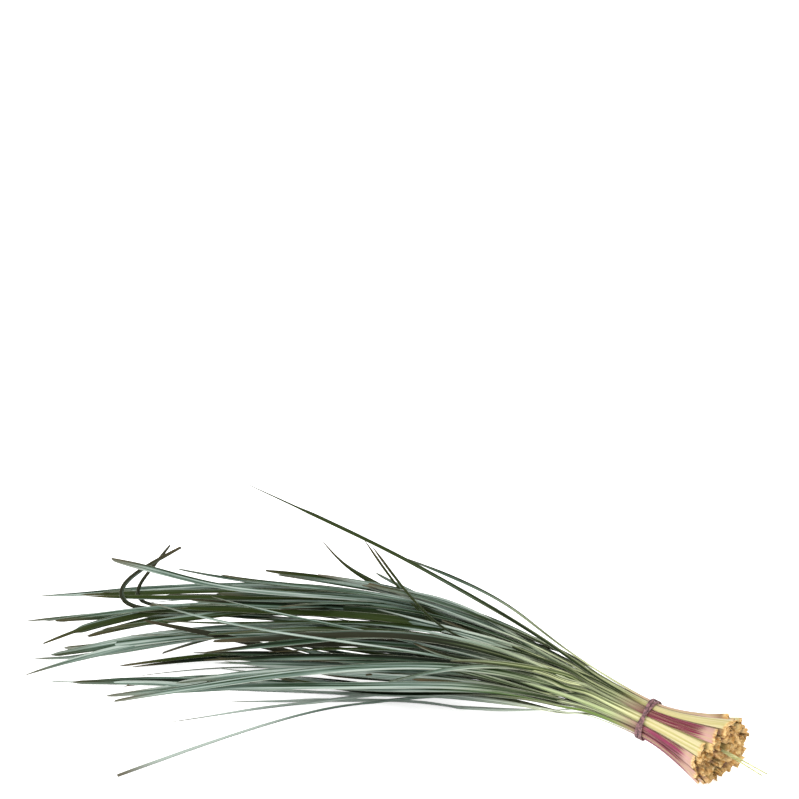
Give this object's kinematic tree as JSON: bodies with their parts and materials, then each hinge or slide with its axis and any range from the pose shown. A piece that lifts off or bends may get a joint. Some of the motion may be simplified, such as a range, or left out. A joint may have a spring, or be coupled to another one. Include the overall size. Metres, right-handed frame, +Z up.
{
  "type": "bear grass bunch",
  "caption": "Cut bunch of long keeled bear grass leaves lying on its side, held near its cut ends by a doubled rubber band.",
  "frame": {"origin": "middle of the bunch's extent, on the surface that it lies on", "axes": "+X towards the cut ends, -X towards the leaf tips, +Y towards the side with the curled tips, +Z up"},
  "size_m": [0.7418, 0.2848, 0.165],
  "materials": {
    "leaf": "satin",
    "sheath": "satin",
    "band": "matte"
  },
  "bodies": {
    "root": {"curled_leaf_1": "leaf", "curled_leaf_2": "leaf", "cut_tip_leaf_1": "leaf", "cut_tip_leaf_2": "leaf", "cut_tip_leaf_3": "leaf", "drooping_leaf_1": "leaf", "drooping_leaf_2": "leaf", "far_tip_leaf_1": "leaf", "far_tip_leaf_2": "leaf", "far_tip_leaf_3": "leaf", "folded_tip_leaf": "leaf", "high_arching_leaf": "leaf", "inner_leaf_01": "leaf", "inner_leaf_02": "leaf", "inner_leaf_03": "leaf", "inner_leaf_04": "leaf", "inner_leaf_05": "leaf", "inner_leaf_06": "leaf", "light_top_leaf": "leaf", "loose_sheath_strip": "sheath", "middle_leaf_01": "leaf", "middle_leaf_02": "leaf", "middle_leaf_03": "leaf", "middle_leaf_04": "leaf", "middle_leaf_05": "leaf", "middle_leaf_06": "leaf", "middle_leaf_07": "leaf", "middle_leaf_08": "leaf", "middle_leaf_09": "leaf", "middle_leaf_10": "leaf", "middle_leaf_11": "leaf", "middle_leaf_12": "leaf", "middle_leaf_13": "leaf", "middle_leaf_14": "leaf", "middle_leaf_15": "leaf", "middle_leaf_16": "leaf", "middle_leaf_17": "leaf", "middle_leaf_18": "leaf", "middle_leaf_19": "leaf", "near_low_leaf": "leaf", "outer_leaf_01": "leaf", "outer_leaf_02": "leaf", "outer_leaf_03": "leaf", "outer_leaf_04": "leaf", "outer_leaf_05": "leaf", "outer_leaf_06": "leaf", "outer_leaf_07": "leaf", "outer_leaf_08": "leaf", "outer_leaf_09": "leaf", "pale_low_leaf": "leaf", "resting_leaf_1": "leaf", "resting_leaf_2": "leaf", "resting_leaf_3": "leaf", "resting_leaf_4": "leaf", "rubber_band": "band", "s_curved_leaf": "leaf", "stray_leaf": "leaf", "thin_high_leaf": "leaf", "upswept_leaf_1": "leaf", "upswept_leaf_2": "leaf"}
  },
  "joints": []
}
